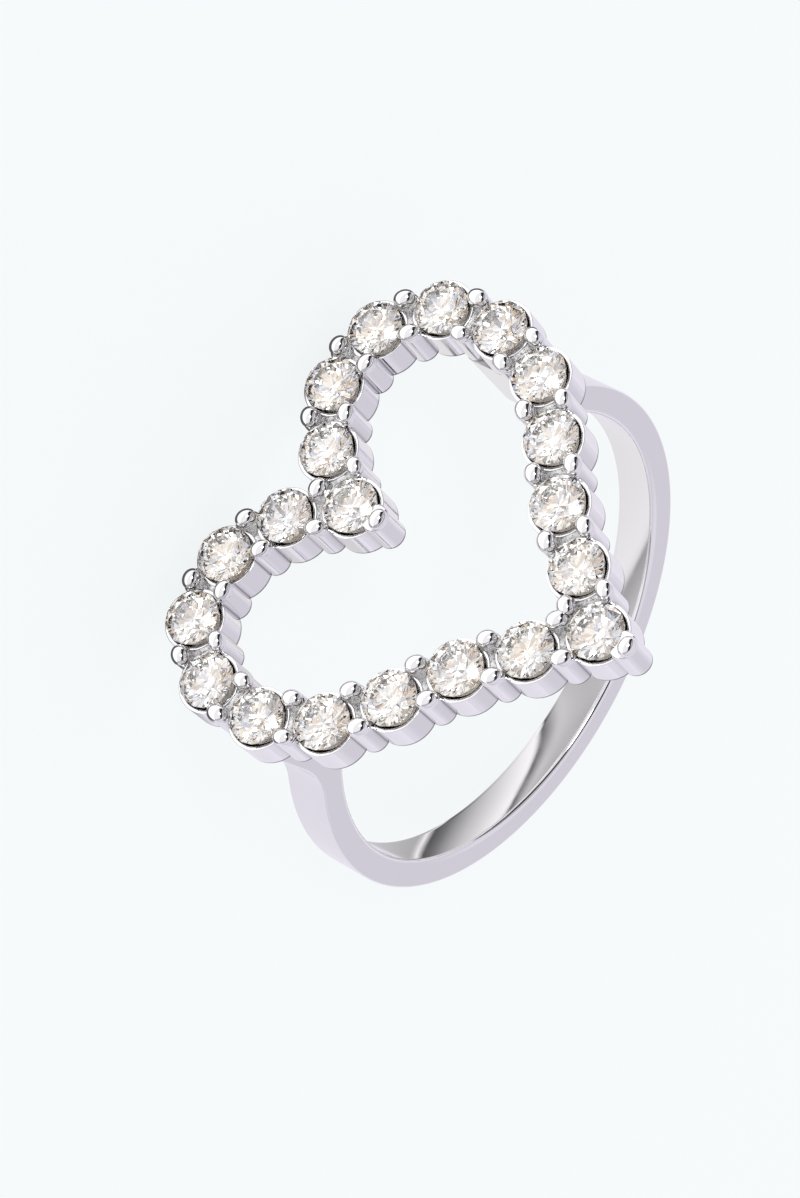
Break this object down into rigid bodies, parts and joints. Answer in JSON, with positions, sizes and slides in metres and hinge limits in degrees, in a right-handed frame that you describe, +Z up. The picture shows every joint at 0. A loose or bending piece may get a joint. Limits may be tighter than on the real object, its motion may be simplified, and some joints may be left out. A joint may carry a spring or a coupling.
{
  "type": "silver ring with an open heart of stones",
  "caption": "Silver ring lying on its side: a plain flat-sided shank that carries an open heart outline of round brilliant-cut clear stones in bead-pronged cups.",
  "frame": {"origin": "on the floor under the middle of the ring's box, with the ring lying on its side as it rests", "axes": "+Z up, -Y towards the heart's face, +X to the right seen from the front; the heart's point is up and the finger goes through nearly along Z"},
  "size_m": [0.0194, 0.0218, 0.0162],
  "materials": {
    "silver": "polished",
    "stone": "faceted and polished"
  },
  "bodies": {
    "root": {"ring_body": "silver", "stone_01": "stone", "stone_02": "stone", "stone_03": "stone", "stone_04": "stone", "stone_05": "stone", "stone_06": "stone", "stone_07": "stone", "stone_08": "stone", "stone_09": "stone", "stone_10": "stone", "stone_11": "stone", "stone_12": "stone", "stone_13": "stone", "stone_14": "stone", "stone_15": "stone", "stone_16": "stone", "stone_17": "stone", "stone_18": "stone", "stone_19": "stone", "stone_20": "stone"}
  },
  "joints": []
}
